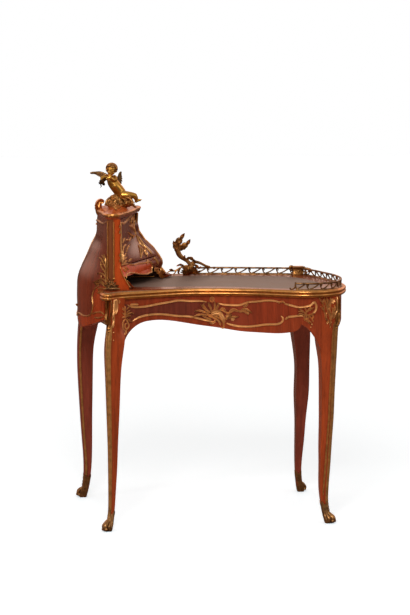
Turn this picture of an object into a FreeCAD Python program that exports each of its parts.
import FreeCAD, Part
import math
import os

V = FreeCAD.Vector

# ---------------------------------------------------------------- main sizes
# All in millimetres.  +X right, +Y back, +Z up, floor at z = 0.
centre_x = -0.2          # middle of the whole part, moved to the origin at the end
centre_y = -16.5
surface_z = 760.0        # writing height
rim_height = 24.0        # gilt moulding round the top
rim_proud = 2.0          # it stands this far above the writing surface
rim_width = 12.0
cover_thick = 3.0        # leather and crossbanding
frieze_inset = 15.0      # face of the frieze behind the edge of the rim
frieze_thick = 16.0
drawer_gap = 0.5         # round the drawer fronts
seat_gap = 0.3           # between curved pieces that only stand side by side
slide_gap = 0.4          # under and beside a running drawer
skin = 3.0               # how far a flat gilt moulding stands off the wood
line_width = 5.5         # width of the gilt frame lines

rim_top = surface_z + rim_proud
rim_low = rim_top - rim_height
board_top = surface_z - cover_thick

# ---------------------------------------------------------------- plan of the top
# Edge of the rim, counter-clockwise from the front left ear.
front_edge = [(-351, -257), (-345, -249), (-320, -226), (-270, -209), (-225, -204), (-132, -202),
              (-37, -213), (58, -236), (132, -268), (193, -305), (247, -330), (290, -334), (335, -318)]
right_edge = [(372, -290), (400, -240), (421, -180), (430, -115), (428, -50), (416, 25),
              (403, 95), (384, 160), (352, 207)]
back_edge = [(300, 232), (225, 252), (137, 275), (0, 292), (-200, 290), (-340, 289)]
left_edge = [(-366, 288), (-386, 280), (-397, 260), (-402, 205), (-419, 20), (-391, -110), (-381, -185),
             (-381, -243), (-375, -256), (-363, -261)]
plan = back_edge + left_edge + front_edge + right_edge

leather_edge = [(-300, -110), (-225, -122), (-132, -124), (-45, -136), (35, -158), (100, -188),
                (160, -222), (215, -248), (262, -256), (302, -244), (332, -205), (350, -150),
                (356, -105), (352, -50), (342, 15), (328, 75), (308, 120), (275, 152), (215, 178),
                (125, 208), (0, 228), (-200, 228), (-320, 224), (-345, 100), (-335, -20)]

# Section of the rim moulding: height above its foot, how far in from the edge.
rim_section = [(0, 5), (3, 1), (8, 0), (11, 3), (13, 3), (17, 0), (21, 1), (24, 5)]
# The moulding is open between these, where the side and the back of the cabinet come down past it.
rim_open_y = (-185.0, 219.0)

# ---------------------------------------------------------------- legs
# height, outer corner x, outer corner y, width, how far the inner front and the inner side
# corners swing back to meet the frieze
chamfer = 16.0           # flat on the outer corner that carries the gilt fillet
leg_stations = {
    "front_left": [(738, -364, -256, 60, 40, 8), (680, -366, -259, 60, 34, 6),
                   (620, -369, -262, 61, 18, 3), (575, -371, -262, 56, 5, 0),
                   (520, -371, -262, 48, 0, 0), (450, -369, -261, 42, 0, 0),
                   (370, -367, -260, 37, 0, 0), (290, -365, -259, 31, 0, 0),
                   (210, -364, -259, 27, 0, 0), (129, -364, -259, 22, 0, 0),
                   (60, -365, -260, 18, 0, 0), (26, -367, -262, 15, 0, 0)],
    "front_right": [(738, 374, -296, 68, -14, 0), (680, 374, -294, 68, -12, 0),
                    (626, 371, -290, 66, -6, 0), (580, 370, -286, 61, -2, 0),
                    (512, 368, -281, 50, 0, 0), (431, 365, -276, 45, 0, 0),
                    (350, 363, -272, 42, 0, 0), (269, 358, -269, 38, 0, 0),
                    (187, 353, -267, 33, 0, 0), (105, 347, -265, 27, 0, 0),
                    (60, 346, -265, 21, 0, 0), (26, 348, -267, 17, 0, 0)],
    "back_left": [(738, -390, 268, 60, 0, 0), (660, -394, 270, 62, 0, 0),
                  (600, -402, 273, 62, 0, 0), (527, -406, 275, 53, 0, 0),
                  (459, -406, 275, 50, 0, 0), (373, -402, 275, 45, 0, 0),
                  (287, -397, 275, 39, 0, 0), (200, -391, 275, 33, 0, 0),
                  (131, -386, 275, 27, 0, 0), (60, -386, 276, 21, 0, 0),
                  (26, -388, 278, 17, 0, 0)],
    "back_right": [(738, 366, 206, 64, 0, 0), (660, 370, 209, 64, 0, 0),
                   (600, 378, 213, 62, 0, 0), (513, 382, 218, 51, 0, 0),
                   (443, 383, 222, 44, 0, 0), (356, 382, 226, 44, 0, 0),
                   (269, 376, 230, 34, 0, 0), (181, 371, 233, 28, 0, 0),
                   (111, 366, 236, 22, 0, 0), (60, 366, 238, 19, 0, 0),
                   (26, 368, 240, 16, 0, 0)],
}
# shoe: height, shift outwards along the diagonal, half width added to the leg
sabot_sections = [(92, 0.0, 0.6), (84, 0.0, 1.6), (60, 0.5, 2.0), (40, 3.0, 3.0), (24, 9.0, 5.5),
                  (12, 16.0, 8.5), (5, 18.0, 9.0), (0, 17.0, 7.5)]
sabot_top = 92.0
fillet_thick = 3.5       # gilt fillet on the leg's outer corner
chute_low = 632.0        # tip of the corner mount
chute_thick = 9.0

# ---------------------------------------------------------------- frieze
drawer_left_x = -225.0
drawer_right_x = 205.0
# lower edge of the frieze, (x, z)
edge_front_left = [(-304, 598), (-281, 633), (-250, 653), (-225, 659)]
edge_drawer = [(-225, 659), (-192, 661), (-128, 654), (-64, 643), (1, 634), (66, 624),
               (131, 621), (187, 622), (205, 625)]
edge_front_right = [(205, 625), (226, 631), (238, 640), (243, 653)]
edge_bracket_right = [(243, 653), (270, 633), (294, 598), (306, 572)]
# lower edges of the side and back rails, (distance along, z)
edge_side_right = [(-240, 636), (-205, 648), (-150, 656), (-40, 658), (70, 652), (120, 640), (146, 616)]
edge_back = [(-345, 590), (-310, 632), (-240, 654), (0, 658), (220, 650), (275, 628), (308, 590)]
# gilt frame lines on the frieze, (x, z)
line_upper = [(-290, 709), (-256, 707), (-200, 716), (-160, 722), (-128, 727), (-80, 725), (-11, 722),
              (18, 713), (65, 711), (105, 717), (150, 727), (190, 722), (216, 716), (244, 710), (276, 710)]
line_lower = [(-276, 664), (-252, 677), (-215, 686), (-160, 684), (-110, 676), (-60, 665), (-20, 655),
              (18, 653), (68, 648), (115, 648), (160, 652), (185, 656), (204, 664), (214, 674), (240, 680),
              (268, 678)]

# outline of the centre mount, (x, z)
clasp_edge = [(-84, 692), (-62, 712), (-28, 724), (-2, 710), (26, 700), (92, 698), (94, 690), (56, 680),
              (24, 676), (20, 652), (8, 636), (-12, 648), (-34, 662), (-62, 670)]
clasp_thick = 8.0

# ---------------------------------------------------------------- frieze drawer
drawer_box_low = 668.0
drawer_box_high = 728.0
drawer_side_thick = 10.0
drawer_back_y = 120.0
drawer_bottom_thick = 5.0
dust_thick = 4.0
dust_gap = 2.0           # dust board behind the drawer front
runner_wide = 18.0

# ---------------------------------------------------------------- cabinet
cabinet_low = surface_z
cabinet_high = 984.0
face_thick = 12.0        # door and drawer front
face_angle = 25.8        # the diagonal face looks this far forwards of +X
shell_thick = 16.0
panel_front_y = -188.0
panel_back_y = 206.0
back_thick = 12.0
# height, x of the front post's right edge, x of the right end
face_stations = [(760, -288, -110), (778, -292, -114), (795, -300, -128), (808, -306, -123),
                 (820, -310, -125), (835, -314, -134), (862, -316, -154), (887, -317, -181),
                 (918, -317, -202), (945, -317, -208), (984, -317, -206)]
post_left = -357.0
post_ridge = (-338.0, -202.0)
face_front_y = -194.0
stile_y = 168.0
# height, x at the front edge, x at the widest of the bulging side
panel_stations = [(612, -368, -412), (637, -368, -427), (672, -368, -428), (720, -366, -429),
                  (760, -361, -428), (808, -357, -417), (837, -357, -403), (871, -357, -388),
                  (906, -357, -370), (934, -357, -364), (965, -357, -363), (984, -357, -361)]
panel_return = 28.0      # its back edge stands this far inside the widest point
# lower edge of the bulging side, (y, z)
edge_panel = [(-200, 670), (-150, 654), (-50, 629), (30, 620), (60, 622), (120, 632), (215, 652)]
door_high = 981.0
door_gap = 5.0           # at the free edge, where the face flares
shelf_thick = 5.0
niche_high = 37.0        # open niche over the writing surface
small_drawer_high = 32.0
door_over_shelf = 7.0    # the door starts this far above the drawer's upper shelf
shelf_lower_z = surface_z + niche_high
shelf_upper_z = shelf_lower_z + small_drawer_high
door_low = shelf_upper_z + door_over_shelf
shelf_back = 6.0         # shelves lie this far behind the drawer and door
hinge_radius = 3.0
hinge_pin_radius = 1.2
hinge_clear = 0.05       # pin in its knuckle
knuckle = 9.0
hinge_heights = (862.0, 952.0)
cabinet_top_edge = [(-335, -208), (-322, -196), (-311, -168), (-289, -105), (-263, -34), (-236, 55),
                    (-214, 140), (-202, 198), (-214, 218), (-270, 221), (-316, 219), (-334, 206),
                    (-343, 160), (-353, 80), (-359, -30), (-360, -117), (-360, -186), (-352, -204)]
cabinet_top_thick = 11.0
dome_rise = 13.0
dome_centre = (-292.0, 10.0)

fillet_wide = 4.0        # gilt lines on the cabinet
fillet_proud = 2.5
# gilt line round the bulging side, (y, z)
line_panel = [(-150, 955), (-164, 900), (-165, 800), (-146, 765), (-152, 705), (-120, 678), (-40, 658),
              (40, 650), (120, 660), (176, 684), (184, 760), (182, 880), (178, 955)]

# scroll and knob that stand on the cornice
volute_path = [(-358, 62, 992), (-364, 62, 1008), (-360, 62, 1026), (-350, 62, 1032), (-344, 62, 1024)]
volute_radii = [5, 5.5, 5.5, 5, 4]
knob_centre = (-199, 206, 994)

# small drawer behind the diagonal face: start along the face, width, depth
tray_start = 118.0
tray_wide = 236.0
tray_deep = 96.0
tray_wall = 6.0

# ---------------------------------------------------------------- gallery
gallery_inset = 16.6
gallery_high = 25.0
rail_size = 5.0
bar_size = 2.6
bar_pitch = 22.0
gallery_front_run = [(232, -326), (290, -334), (335, -318), (372, -290), (400, -240), (421, -180),
                     (429, -125)]
gallery_end_run = [(430, -115), (428, -50), (416, 25), (403, 95), (384, 160), (360, 200)]
gallery_back_run = [(312, 229), (225, 252), (137, 275), (40, 290), (-40, 292)]
block_centre = (334.0, 196.0)
block_size = (36.0, 30.0, 30.0)
branch_y = 262.0

# ---------------------------------------------------------------- figure
figure_y = 0.0


def spline(points, z=None, closed=False):
    """A smooth curve through plan points at a height, or through 3-D points."""
    through = [V(*p) if z is None else V(p[0], p[1], z) for p in points]
    curve = Part.BSplineCurve()
    curve.interpolate(through, PeriodicFlag=closed)
    return curve.toShape()


def inset(points, distance, closed=False):
    """Plan points moved square to the smooth curve through them, to the left of their path.
    The nearer neighbour counts for more, as it does in that curve's direction."""
    moved = []
    last = len(points) - 1
    for i, (x, y) in enumerate(points):
        steps = []
        if i > 0 or closed:
            steps.append((x - points[i - 1][0], y - points[i - 1][1]))
        if i < last or closed:
            after = points[(i + 1) % len(points)]
            steps.append((after[0] - x, after[1] - y))
        dx = sum(step[0] / (step[0] ** 2 + step[1] ** 2) for step in steps)
        dy = sum(step[1] / (step[0] ** 2 + step[1] ** 2) for step in steps)
        length = math.hypot(dx, dy)
        moved.append((x - distance * dy / length, y + distance * dx / length))
    return moved


def parallel(points, distance, z, closed=False):
    """A smooth curve at an even distance to the left of the smooth curve through plan points."""
    curve = spline(points, z, closed).Curve
    knots = curve.getKnots()
    moved = []
    for low, high in zip(knots, knots[1:]):
        for third in range(3):
            moved.append(stepped(curve, low + (high - low) * third / 3, distance))
    if not closed:
        moved.append(stepped(curve, knots[-1], distance))
    return spline(moved, closed=closed)


def stepped(curve, u, distance):
    """The point of a level curve at a parameter, moved to the left of its path."""
    point = curve.value(u)
    way = curve.tangent(u)[0]
    return point + V(-way.y, way.x, 0) * distance


def loop(edges):
    """The closed wire of touching edges."""
    return Part.Wire(Part.__sortEdges__(edges))


def slab(edge, low, high, distance=0.0):
    """A closed plan outline, held in by a distance and raised between two heights."""
    line = parallel(edge, distance, low, True) if distance else spline(edge, low, True)
    return Part.Face(Part.Wire([line])).extrude(V(0, 0, high - low))


def prism(points, low, high):
    """A straight-sided plan polygon raised between two heights."""
    corners = [V(x, y, low) for x, y in points]
    face = Part.Face(Part.makePolygon(corners + corners[:1]))
    return face.extrude(V(0, 0, high - low))


def between(first, second):
    """The face between two smooth curves, closed by straight ends."""
    ends = [Part.makeLine(first.Vertexes[0].Point, second.Vertexes[0].Point),
            Part.makeLine(first.Vertexes[-1].Point, second.Vertexes[-1].Point)]
    return Part.Face(loop([first, second] + ends))


def band(points, outer, inner, low, high):
    """A wall that follows an open plan curve between two insets."""
    face = between(spline(inset(points, outer), low), spline(inset(points, inner), low))
    return face.extrude(V(0, 0, high - low))


def curtain(edges, top, start, run):
    """A prism along a run, level on top, whose lower edge is smooth through each list of points."""
    bottom = [spline(edge) for edge in edges]
    first = bottom[0].Vertexes[0].Point
    last = bottom[-1].Vertexes[-1].Point
    first_top = V(first.x, first.y, top)
    last_top = V(last.x, last.y, top)
    sides = [Part.makeLine(first, first_top), Part.makeLine(first_top, last_top),
             Part.makeLine(last_top, last)]
    face = Part.Face(loop(bottom + sides))
    face.translate(start)
    return face.extrude(run)


def ribbon(points, width, place, run):
    """A strip of even width along a smooth line in an upright plane, made a prism along a run."""
    left = [place(*p) for p in inset(points, width / 2)]
    right = [place(*p) for p in inset(points, -width / 2)]
    return between(spline(left), spline(right)).extrude(run)


def biggest(shape):
    """The largest solid of a shape that a cut has left in pieces."""
    return max(shape.Solids, key=lambda solid: solid.Volume)


def loft(wires, ruled=False):
    return Part.makeLoft(wires, True, ruled)


def polygon(points):
    """A closed wire through 3-D points."""
    corners = [V(*p) for p in points]
    return Part.makePolygon(corners + corners[:1])


# ---------------------------------------------------------------- legs and shoes
def leg_section(station):
    """Five corners of a leg: the inner front, the two ends of the flat, the inner side, the inside."""
    z, x, y, width, swing_front, swing_side = station
    sx = 1 if x > 0 else -1
    sy = 1 if y > 0 else -1
    flat = chamfer * min(1.0, width / 50.0)
    return [(x - sx * width, y - sy * swing_front, z), (x - sx * flat, y, z), (x, y - sy * flat, z),
            (x - sx * swing_side, y - sy * width, z), (x - sx * width, y - sy * (width + 0.1), z)]


def make_leg(name):
    return loft([polygon(leg_section(station)) for station in leg_stations[name]])


def corner_strip(name, low, high, wide, thick):
    """A strip on the flat of a leg, between two heights, as wide and thick as two functions say."""
    wires = []
    for station in leg_stations[name]:
        z = station[0]
        if not low <= z <= high:
            continue
        a, b = (V(*p) for p in leg_section(station)[1:3])
        middle = (a + b) * 0.5
        along = (b - a).normalize()
        out = V(1 if station[1] > 0 else -1, 1 if station[2] > 0 else -1, 0).normalize()
        half = along * (wide(z) / 2)
        wires.append(polygon([middle - half - out, middle + half - out,
                              middle + half * 0.6 + out * thick(z), middle - half * 0.6 + out * thick(z)]))
    return wires


def make_fillet(name):
    """The gilt fillet down the outer corner of a leg."""
    top = chute_low + 30 if name.startswith("front") else rim_low
    wires = corner_strip(name, sabot_top, top, lambda z: 8 + 7 * (z - 60) / 680, lambda z: fillet_thick)
    return loft(wires)


def make_chute(name):
    """The corner mount at the top of a front leg, a long leaf."""
    def wide(z):
        return 12 + 22 * (z - chute_low) / (rim_low - chute_low)

    def thick(z):
        return fillet_thick + (chute_thick - fillet_thick) * (z - chute_low) / (rim_low - chute_low)
    return loft(corner_strip(name, 600, 740, wide, thick))


def make_sabot(name, leg):
    """A bronze shoe round the foot of a leg, with a toe that points outwards."""
    stations = leg_stations[name]
    wires = []
    for z, shift, grow in sabot_sections:
        x, y, width = station_at(stations, max(z, 26.0))
        sx = 1 if x > 0 else -1
        sy = 1 if y > 0 else -1
        cx = x - sx * width / 2 + sx * shift * 0.7
        cy = y - sy * width / 2 + sy * shift * 0.7
        half = width / 2 + grow
        circle = Part.Circle(V(cx, cy, z), V(0, 0, 1), half * 1.12)
        wires.append(Part.Wire([circle.toShape()]))
    return loft(wires).cut(leg)


def station_at(stations, z):
    """Outer corner and width of a leg at a height, in a straight line between stations."""
    for upper, lower in zip(stations, stations[1:]):
        if lower[0] <= z <= upper[0]:
            f = (z - lower[0]) / (upper[0] - lower[0])
            return [lower[i] + f * (upper[i] - lower[i]) for i in (1, 2, 3)]
    return list(stations[-1][1:4])


# ---------------------------------------------------------------- frieze and top
def front_wall(outer, inner):
    return band(front_edge, outer, inner, 560, rim_low)


def front_piece(edges, outer=frieze_inset, inner=frieze_inset + frieze_thick, top=rim_low):
    """The part of the frieze wall above a smooth lower edge."""
    placed = [[(x, -400, z) for x, z in edge] for edge in edges]
    return front_wall(outer, inner).common(curtain(placed, top, V(0, 0, 0), V(0, 350, 0)))


def front_line(points, low_x, high_x):
    """A gilt line on the frieze between two x."""
    strip = ribbon(points, line_width, lambda x, z: (x, -400, z), V(0, 350, 0))
    line = front_wall(frieze_inset - skin, frieze_inset).common(strip)
    return line.common(Part.makeBox(high_x - low_x, 400, 300, V(low_x, -420, 500)))


def make_rim():
    """The gilt moulding round the top, open where the cabinet's side passes."""
    wires = [Part.Wire([parallel(plan, back, rim_low + up, True)]) for up, back in rim_section]
    ring = loft(wires, True).cut(slab(plan, rim_low - 1, rim_top + 1, rim_width - seat_gap))
    near, far = rim_open_y
    return ring.cut(Part.makeBox(200, far - near, 2 * rim_height, V(-540, near, rim_low - 10)))


def make_top(panel):
    """The board, its crossbanding and the leather."""
    board = biggest(slab(plan, rim_low, board_top, rim_width).cut(panel))
    cover = slab(plan, board_top, surface_z, rim_width).cut(panel)
    field = slab(leather_edge, board_top, surface_z)
    banding = biggest(cover.cut(field))
    return board, banding, field


def make_clasp():
    """The rocaille mount in the middle of the drawer front, as one plain raised shape."""
    outline = spline([(x, -400, z) for x, z in clasp_edge], closed=True)
    shape = Part.Face(Part.Wire([outline])).extrude(V(0, 350, 0))
    return front_wall(frieze_inset - clasp_thick, frieze_inset).common(shape)


def make_side_rail():
    wall = band(right_edge[:-1], frieze_inset, frieze_inset + frieze_thick, 560, rim_low)
    edge = [(500, y, z) for y, z in edge_side_right]
    return wall.common(curtain([edge], rim_low, V(0, 0, 0), V(-250, 0, 0)))


def make_back_rail():
    wall = band(back_edge, frieze_inset, frieze_inset + frieze_thick, 560, rim_low)
    edge = [(x, 100, z) for x, z in edge_back]
    return wall.common(curtain([edge], rim_low, V(0, 0, 0), V(0, 250, 0)))


def make_left_rail():
    """The straight rail behind the bulging side."""
    outline = [(-362, -196), (-398, 208), (-398 + frieze_thick, 208), (-362 + frieze_thick, -196)]
    return prism(outline, 648, rim_low)


# ---------------------------------------------------------------- drawer of the frieze
def make_drawer():
    """Sides, back and bottom of the drawer behind a serpentine front."""
    left = drawer_left_x + 12
    right = drawer_right_x - 12
    t = drawer_side_thick
    length = drawer_back_y + 400
    height = drawer_box_high - drawer_box_low
    rear = drawer_back_y - t
    side_left = Part.makeBox(t, length, height, V(left, -400, drawer_box_low))
    side_right = Part.makeBox(t, length, height, V(right - t, -400, drawer_box_low))
    keep = front_clear()
    back = Part.makeBox(right - left - 2 * t, t, height - 8, V(left + t, rear, drawer_box_low + 8))
    bottom = Part.makeBox(right - left - 2 * t, rear + 400 + t, drawer_bottom_thick,
                          V(left + t, -400, drawer_box_low + 3))
    bottom_solid = biggest(bottom.common(keep))
    return (biggest(side_left.common(keep)), biggest(side_right.common(keep)), back, bottom_solid)


def front_clear():
    """All the room behind the inner face of the frieze."""
    line = inset(front_edge, frieze_inset + frieze_thick)
    edge = spline(line, 500)
    a = edge.Vertexes[0].Point
    b = edge.Vertexes[-1].Point
    far_a = V(a.x, 400, 500)
    far_b = V(b.x, 400, 500)
    sides = [Part.makeLine(a, far_a), Part.makeLine(far_a, far_b), Part.makeLine(far_b, b)]
    return Part.Face(loop([edge] + sides)).extrude(V(0, 0, 300))


def make_carcase():
    """Dust board and the two runners that carry the drawer."""
    low = drawer_box_low - slide_gap - dust_thick
    line = inset(front_edge[3:-2], frieze_inset + frieze_thick + dust_gap)
    edge = spline(line, low)
    a = edge.Vertexes[0].Point
    b = edge.Vertexes[-1].Point
    p = V(a.x, 244, low)
    q = V(b.x, 206, low)
    sides = [Part.makeLine(a, p), Part.makeLine(p, q), Part.makeLine(q, b)]
    board = Part.Face(loop([edge] + sides)).extrude(V(0, 0, dust_thick))
    top = drawer_box_low - slide_gap
    left = Part.makeBox(runner_wide, 330, 34, V(drawer_left_x + 12 - slide_gap - runner_wide, -150, top))
    right = Part.makeBox(runner_wide, 390, 34, V(drawer_right_x - 12 + slide_gap, -210, top))
    return board, left, right


# ---------------------------------------------------------------- cabinet
face_in = V(-math.cos(math.radians(face_angle)), math.sin(math.radians(face_angle)), 0)


def face_ends(z):
    """Where the diagonal face starts at the post and ends at the right stile."""
    for lower, upper in zip(face_stations, face_stations[1:]):
        if lower[0] <= z <= upper[0]:
            f = (z - lower[0]) / (upper[0] - lower[0])
            post = lower[1] + f * (upper[1] - lower[1])
            end = lower[2] + f * (upper[2] - lower[2])
            return V(post, face_front_y, z), V(end - 14, stile_y, z)
    raise ValueError(z)


def face_heights(low, high):
    """The stations between two heights, with the two heights themselves."""
    return [low] + [s[0] for s in face_stations if low + 2 < s[0] < high - 2] + [high]


def face_panel(low, high, start, stop, thick=face_thick, proud=0.0):
    """A piece of the diagonal face between two heights, held in from both ends."""
    wires = []
    for z in face_heights(low, high):
        a, b = face_ends(z)
        along = (b - a).normalize()
        p = a + along * start - face_in * proud
        q = b - along * stop - face_in * proud
        wires.append(polygon([p, q, q + face_in * (thick + proud), p + face_in * (thick + proud)]))
    return loft(wires)


def face_strip(low, high, start, wide, from_end=False):
    """An upright gilt line on the diagonal face, beside one of its ends."""
    wires = []
    for z in face_heights(low, high):
        a, b = face_ends(z)
        along = (b - a).normalize()
        p = b - along * (start + wide) if from_end else a + along * start
        q = p + along * wide
        out = face_in * -fillet_proud
        wires.append(polygon([p + out, q + out, q, p]))
    return loft(wires)


def make_door_frame(start, stop):
    """The gilt line round the door."""
    low = door_low + 3
    high = door_high - 3
    sides = [face_strip(low, high, start, fillet_wide), face_strip(low, high, stop, fillet_wide, True)]
    ends = [face_panel(z, z + fillet_wide, start, stop, 0, fillet_proud) for z in (low, high - fillet_wide)]
    return sides[0].fuse(sides[1:] + ends)


def make_drawer_lines(low, high):
    """The gilt lines along the two long edges of the small drawer."""
    return Part.makeCompound([face_panel(z, z + fillet_wide, 4, 4, 0, fillet_proud)
                              for z in (low + 2, high - 2 - fillet_wide)])


def make_post_fillets():
    """The gilt lines down both edges of the front post."""
    left = []
    right = []
    ridge = V(post_ridge[0], post_ridge[1], 0)
    for z, post, end in face_stations:
        if z < 790:
            continue
        for corner, wires in ((V(post_left, -190, z), left), (V(post, face_front_y, z), right)):
            along = (ridge + V(0, 0, z) - corner).normalize()
            out = V(0, -fillet_proud, 0)
            q = corner + along * fillet_wide
            wires.append(polygon([corner + out, q + out, q, corner]))
    return loft(left), loft(right)


def make_panel_line():
    """The gilt line that frames the bulging side."""
    strip = ribbon(line_panel, line_width, lambda y, z: (-600, y, z), V(400, 0, 0))
    return make_panel(-fillet_proud, fillet_proud).common(strip)


def make_post():
    wires = []
    for z, post, end in face_stations:
        b = V(post, face_front_y, z)
        wires.append(polygon([(post_left, -190, z), (post_ridge[0], post_ridge[1], z), b,
                              b + face_in * 20, (post_left + 14, -158, z), (post_left, -160, z)]))
    return loft(wires)


def make_stile():
    """The right-hand stile, which spreads into a foot."""
    wires = []
    for z, post, end in face_stations:
        a, b = face_ends(z)
        p = b + (b - a).normalize() * drawer_gap
        wires.append(polygon([p, (end, stile_y + 22, z), (end - 4, panel_back_y, z),
                              (end - 34, panel_back_y, z), p + face_in * 14]))
    return loft(wires)


def panel_curve(z, front, wide, shift):
    """The bulging side in plan at one height."""
    points = [(front + shift, panel_front_y), (front * 0.45 + wide * 0.55 + shift, -110),
              (wide + shift, 10), (wide + panel_return * 0.42 + shift, 120),
              (wide + panel_return + shift, panel_back_y)]
    return spline(points, z)


def make_panel(outer=0.0, thick=shell_thick):
    wires = []
    for z, front, wide in panel_stations:
        first = panel_curve(z, front, wide, outer)
        second = panel_curve(z, front, wide, outer + thick)
        ends = [Part.makeLine(first.Vertexes[0].Point, second.Vertexes[0].Point),
                Part.makeLine(first.Vertexes[-1].Point, second.Vertexes[-1].Point)]
        wires.append(loop([first, second] + ends))
    above = curtain_along([(-600, y, z) for y, z in edge_panel], 1100)
    return loft(wires).common(above)


def curtain_along(edge, top):
    """The room above a smooth lower edge that runs along Y."""
    return curtain([edge], top, V(0, 0, 0), V(400, 0, 0))


def make_cabinet_back():
    """The flat back, which follows the bulge on one side and the flare on the other."""
    left = [(wide + panel_return, panel_back_y, z) for z, front, wide in panel_stations if z >= cabinet_low]
    right = [(s[2], panel_back_y, s[0]) for s in face_stations]
    first = spline(left)
    second = spline(right)
    return between(first, second).extrude(V(0, back_thick, 0))


def make_shelf(z, panel, post, stile, back):
    """A shelf across the inside of the cabinet."""
    a, b = face_ends(z)
    inward = face_in * (face_thick + shelf_back)
    p = a + inward
    q = b + inward
    board = prism([(p.x, p.y), (q.x, q.y), (q.x, panel_back_y), (-420, panel_back_y), (-420, -150)], z,
                  z + shelf_thick)
    for piece in (panel, post, stile, back):
        board = board.cut(piece)
    return biggest(board)


def make_tray():
    """Sides, back and bottom of the small drawer, square to the way it slides."""
    low = shelf_lower_z + shelf_thick + slide_gap
    high = shelf_upper_z - slide_gap - 1
    middle_z = (low + high) / 2
    a, b = face_ends(middle_z)
    along = V(-face_in.y, face_in.x, 0) * -1
    if along.y < 0:
        along = along * -1
    origin = V(a.x, a.y, low) + along * tray_start + face_in * 40
    near = -60.0

    def block(s0, s1, d0, d1, z0, z1):
        corners = [origin + along * s0 + face_in * d0, origin + along * s1 + face_in * d0,
                   origin + along * s1 + face_in * d1, origin + along * s0 + face_in * d1]
        return prism([(p.x, p.y) for p in corners], z0, z1)
    side_a = block(0, tray_wall, near, tray_deep, low, high)
    side_b = block(tray_wide - tray_wall, tray_wide, near, tray_deep, low, high)
    back = block(tray_wall, tray_wide - tray_wall, tray_deep - tray_wall, tray_deep, low, high)
    bottom = block(tray_wall, tray_wide - tray_wall, near, tray_deep - tray_wall, low, low + 3)
    return side_a.fuse([side_b, back, bottom]).removeSplitter()


def behind_face(low, high):
    """The room inside the diagonal face, up to its inner side."""
    wires = []
    for z in face_heights(low, high):
        a, b = face_ends(z)
        along = (b - a).normalize()
        p = a - along * 60 + face_in * face_thick
        q = b + along * 60 + face_in * face_thick
        wires.append(polygon([p, q, q + face_in * 260, p + face_in * 260]))
    return loft(wires)


def make_hinges():
    """Knuckles and pins of the two door hinges."""
    axis = hinge_point()
    post_side = []
    door_side = []
    pins = []
    bore = hinge_pin_radius + hinge_clear
    for z in hinge_heights:
        for i in range(3):
            low = z + (i - 1.5) * knuckle + (0.1 if i else 0.0)
            high = z + (i - 0.5) * knuckle - (0.1 if i < 2 else 0.0)
            foot = V(axis.x, axis.y, low)
            tube = Part.makeCylinder(hinge_radius, high - low, foot)
            hole = Part.makeCylinder(bore, high - low, foot)
            if i == 1:
                leaf = leaf_plate(axis, low, high, 1)
                door_side.append(tube.fuse(leaf).cut(hole))
            else:
                leaf = leaf_plate(axis, low, high, -1)
                post_side.append(tube.fuse(leaf).cut(hole))
        pins.append(Part.makeCylinder(hinge_pin_radius, 3 * knuckle, V(axis.x, axis.y, z - 1.5 * knuckle)))
    return Part.makeCompound(post_side), Part.makeCompound(door_side), Part.makeCompound(pins)


def hinge_point():
    a, b = face_ends(cabinet_high)
    return a + (b - a).normalize() * 4.0


def leaf_plate(axis, low, high, side):
    """A short leaf from a knuckle into the wood beside it."""
    a, b = face_ends(cabinet_high)
    along = (b - a).normalize() * side
    p = V(axis.x, axis.y, 0) - face_in * 0.6
    q = p + along * 13.0
    corners = [p, q, q + face_in * 1.2, p + face_in * 1.2]
    return prism([(c.x, c.y) for c in corners], low, high)


def make_cabinet_top():
    """The top board with its low dome."""
    low = cabinet_high
    board = slab(cabinet_top_edge, low, low + cabinet_top_thick)
    rings = []
    for up, share in ((0, 0.95), (5, 0.88), (10, 0.74), (dome_rise, 0.5)):
        ring = [(dome_centre[0] + (x - dome_centre[0]) * share, dome_centre[1] + (y - dome_centre[1]) * share)
                for x, y in cabinet_top_edge]
        rings.append(Part.Wire([spline(ring, low + cabinet_top_thick + up, True)]))
    return board.fuse(loft(rings, True))


def make_cornice():
    """The gilt moulding round the cabinet's top."""
    wires = []
    for up, out in ((0, 0.5), (2, 3), (5, 4), (8, 3), (11, 0.5)):
        wires.append(Part.Wire([spline(inset(cabinet_top_edge, -out, True), cabinet_high + up, True)]))
    ring = loft(wires, True).cut(slab(cabinet_top_edge, cabinet_high - 1, cabinet_high + 14))
    scroll = limb(volute_path, volute_radii)
    knob = Part.makeSphere(6.5, V(*knob_centre))
    return ring.fuse(scroll + [knob])


# ---------------------------------------------------------------- gallery
def rail(run, low, high, wide):
    middle = gallery_inset
    return band(run, middle - wide / 2, middle + wide / 2, low, high)


def make_gallery(run):
    """One length of the pierced gallery: two rails and a zigzag of bars."""
    low = rim_top - rim_proud
    high = low + gallery_high
    pieces = [rail(run, low + 0.0, low + rail_size, rail_size + 2),
              rail(run, high - rail_size, high, rail_size)]
    path = spline(inset(run, gallery_inset), 0.0)
    count = max(2, int(round(path.Length / bar_pitch)))
    points = path.discretize(Number=count + 1)
    for i in range(count):
        p, q = points[i], points[i + 1]
        z0, z1 = (low + rail_size - 1, high - rail_size + 1)
        if i % 2:
            z0, z1 = z1, z0
        pieces.append(strut(V(p.x, p.y, z0), V(q.x, q.y, z1), bar_size / 2))
    return pieces[0].fuse(pieces[1:])


def strut(p, q, radius):
    """A round bar between two points."""
    return Part.makeCylinder(radius, (q - p).Length, p, q - p)


def make_block():
    """The pedestal at the back right corner of the gallery."""
    x, y = block_centre
    w, d, h = block_size
    low = surface_z
    body = Part.makeBox(w, d, h - 6, V(x - w / 2, y - d / 2, low))
    cap = Part.makeBox(w + 5, d + 5, 6, V(x - w / 2 - 2.5, y - d / 2 - 2.5, low + h - 6))
    return body.fuse(cap).removeSplitter()


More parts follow.
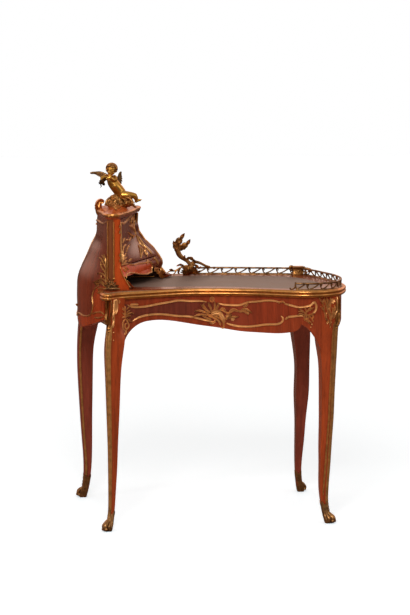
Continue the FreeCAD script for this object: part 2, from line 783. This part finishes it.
def limb(points, radii):
    """A rounded limb through points with a radius at each."""
    pieces = [Part.makeSphere(r, V(*p)) for p, r in zip(points, radii)]
    for (p, q, r, s) in zip(points, points[1:], radii, radii[1:]):
        a, b = V(*p), V(*q)
        pieces.append(cone(a, b, r, s))
    return pieces


def cone(a, b, r, s):
    if abs(r - s) < 0.01:
        return Part.makeCylinder(r, (b - a).Length, a, b - a)
    return Part.makeCone(r, s, (b - a).Length, a, b - a)


def make_branch():
    """The leafy branch that ends the gallery beside the cabinet."""
    y = branch_y
    stem = limb([(26, y, 786), (0, y, 796), (-24, y, 806), (-40, y, 818), (-54, y, 838), (-58, y, 858)],
                [4, 5.5, 7, 6.5, 6, 8])
    root = limb([(-12, y, 800), (-34, y, 782), (-70, y, 774), (-100, y, 765)], [6, 12, 9, 4])
    petals = limb([(-58, y, 858), (-72, y, 870), (-70, y, 893)], [7, 6, 2])
    petals += limb([(-58, y, 858), (-47, y, 878), (-36, y, 902)], [8, 8, 2.5])
    petals += limb([(-56, y, 858), (-38, y, 864), (-19, y, 880)], [7, 7, 2.5])
    return stem[0].fuse(stem[1:] + root + petals)


# ---------------------------------------------------------------- figure on the cabinet
def make_figure():
    """A reclining winged child, cast in one piece with its wings."""
    y = figure_y
    torso = limb([(-312, y, 1108), (-300, y, 1085), (-282, y, 1056)], [13, 14, 15])
    head = limb([(-318, y, 1136), (-314, y, 1118)], [15.5, 7])
    arm_left = limb([(-322, y - 6, 1108), (-354, y - 10, 1095), (-338, y - 16, 1088)], [7, 5.5, 4.5])
    arm_right = limb([(-302, y - 8, 1104), (-312, y - 18, 1092), (-340, y - 18, 1088)], [7, 5.5, 4.5])
    leg_near = limb([(-280, y - 6, 1050), (-244, y - 10, 1052), (-222, y - 8, 1030)], [13, 9, 5.5])
    leg_far = limb([(-280, y + 6, 1048), (-250, y + 6, 1040), (-236, y + 4, 1026)], [13, 9, 5.5])
    wing_left = limb([(-316, y + 10, 1106), (-350, y + 14, 1114), (-386, y + 14, 1126)], [6, 8, 3])
    wing_right = limb([(-306, y + 10, 1100), (-290, y + 14, 1104), (-285, y + 14, 1122)], [5, 7, 3])
    parts = torso + head + arm_left + arm_right + leg_near + leg_far + wing_left + wing_right
    return parts[0].fuse(parts[1:])


def make_figure_base():
    """The rockwork under the child."""
    y = figure_y
    wires = []
    for z, left, right, deep in ((1006, -340, -246, 34), (1014, -342, -244, 34), (1026, -338, -250, 28),
                                 (1038, -326, -262, 18)):
        ellipse = Part.Ellipse(V((left + right) / 2, y, z), (right - left) / 2, deep)
        wires.append(Part.Wire([ellipse.toShape()]))
    return loft(wires)


# ---------------------------------------------------------------- all pieces
def build():
    nodes = {}
    for name in leg_stations:
        leg = make_leg(name)
        nodes["leg_" + name] = leg
        nodes["sabot_" + name] = make_sabot(name, leg)
        nodes["fillet_" + name] = make_fillet(name).cut(leg)
    for name in ("front_left", "front_right"):
        leg = nodes["leg_" + name]
        nodes["chute_" + name] = make_chute(name).cut(leg)
        nodes["fillet_" + name] = biggest(nodes["fillet_" + name].cut(nodes["chute_" + name]))

    panel = make_panel()
    for name in ("front_left", "back_left"):
        panel = panel.cut(nodes["leg_" + name])
    panel = biggest(panel.cut(nodes["fillet_back_left"]))
    nodes["cabinet_side"] = panel
    nodes["rail_front_left"] = front_piece([edge_front_left])
    drawer_front = front_piece([edge_drawer], top=rim_low - drawer_gap)
    trim = Part.makeBox(drawer_right_x - drawer_left_x - 2 * drawer_gap, 400, 400,
                        V(drawer_left_x + drawer_gap, -400, 500))
    nodes["drawer_front"] = drawer_front.common(trim)
    nodes["rail_front_right"] = front_piece([edge_front_right, edge_bracket_right])
    nodes["rail_right"] = make_side_rail()
    nodes["rail_back"] = make_back_rail()
    nodes["rail_left"] = make_left_rail()
    for rail_name in ("rail_front_left", "rail_front_right", "rail_right", "rail_back", "rail_left"):
        piece = nodes[rail_name]
        for name in leg_stations:
            piece = piece.cut(nodes["leg_" + name])
        nodes[rail_name] = biggest(piece.cut(panel))

    board, banding, field = make_top(panel)
    nodes["top_board"] = board
    nodes["top_banding"] = banding
    nodes["top_leather"] = field
    nodes["top_rim"] = make_rim()

    sides = make_drawer()
    for key, piece in zip(("drawer_side_left", "drawer_side_right", "drawer_back", "drawer_bottom"), sides):
        nodes[key] = piece
    dust, runner_left, runner_right = make_carcase()
    nodes["dust_board"] = dust
    nodes["runner_left"] = biggest(runner_left.common(front_clear()))
    nodes["runner_right"] = biggest(runner_right.common(front_clear()))

    upper = front_line(line_upper, drawer_left_x + 1, drawer_right_x - 1)
    lower = front_line(line_lower, drawer_left_x + 1, drawer_right_x - 1)
    clasp = make_clasp()
    nodes["drawer_clasp"] = clasp
    nodes["drawer_frame"] = Part.makeCompound([upper.cut(clasp), lower.cut(clasp)])
    nodes["frame_left"] = Part.makeCompound([front_line(line_upper, -300, drawer_left_x - 1),
                                             front_line(line_lower, -300, drawer_left_x - 1)])
    nodes["frame_right"] = Part.makeCompound([front_line(line_upper, drawer_right_x + 1, 300),
                                              front_line(line_lower, drawer_right_x + 1, 300)])

    post = make_post()
    stile = make_stile()
    back = make_cabinet_back()
    nodes["cabinet_post"] = post.cut(panel)
    nodes["cabinet_stile"] = stile
    nodes["cabinet_back"] = back
    for key, z in (("shelf_upper", shelf_upper_z), ("shelf_lower", shelf_lower_z)):
        nodes[key] = make_shelf(z, panel, post, stile, back)
    hinge_start = 4.0 + hinge_radius + 0.5
    door = face_panel(door_low, door_high, hinge_start, door_gap)
    post_knuckles, door_knuckles, pins = make_hinges()
    nodes["door_panel"] = door.cut(door_knuckles)
    nodes["door_frame"] = make_door_frame(hinge_start + 3, 4).cut(door).cut(door_knuckles)
    nodes["hinge_fixed"] = post_knuckles
    nodes["hinge_moving"] = door_knuckles
    nodes["hinge_pins"] = pins
    nodes["cabinet_post"] = nodes["cabinet_post"].cut(post_knuckles)
    small_front = face_panel(shelf_lower_z + 4, shelf_upper_z + 4, drawer_gap, drawer_gap)
    nodes["small_drawer_front"] = small_front
    nodes["small_drawer_lines"] = make_drawer_lines(shelf_lower_z + 4, shelf_upper_z + 4).cut(small_front)
    clear = [nodes["cabinet_post"], post_knuckles]
    nodes["post_fillets"] = Part.makeCompound([line.cut(clear) for line in make_post_fillets()])
    nodes["side_frame"] = make_panel_line()
    tray = make_tray().common(behind_face(shelf_lower_z, shelf_upper_z + 10))
    nodes["small_drawer_box"] = biggest(tray.cut(small_front))
    nodes["cabinet_top"] = make_cabinet_top()
    nodes["cabinet_cornice"] = make_cornice().cut(nodes["cabinet_top"])

    nodes["gallery_branch"] = make_branch()
    nodes["gallery_back"] = biggest(make_gallery(gallery_back_run).cut(nodes["gallery_branch"]))
    nodes["gallery_front"] = biggest(make_gallery(gallery_front_run).cut(nodes["top_rim"]))
    nodes["gallery_block"] = make_block().cut(nodes["top_rim"])
    nodes["gallery_end"] = biggest(make_gallery(gallery_end_run).cut(nodes["gallery_block"]))
    nodes["figure"] = make_figure()
    nodes["figure_base"] = make_figure_base().cut(nodes["cabinet_top"]).cut(nodes["figure"])
    return nodes


def main():
    os.makedirs("parts", exist_ok=True)
    for name, shape in build().items():
        placed = shape.copy()
        placed.translate(V(-centre_x, -centre_y, 0))
        placed.exportStep("parts/" + name + ".step")


main()
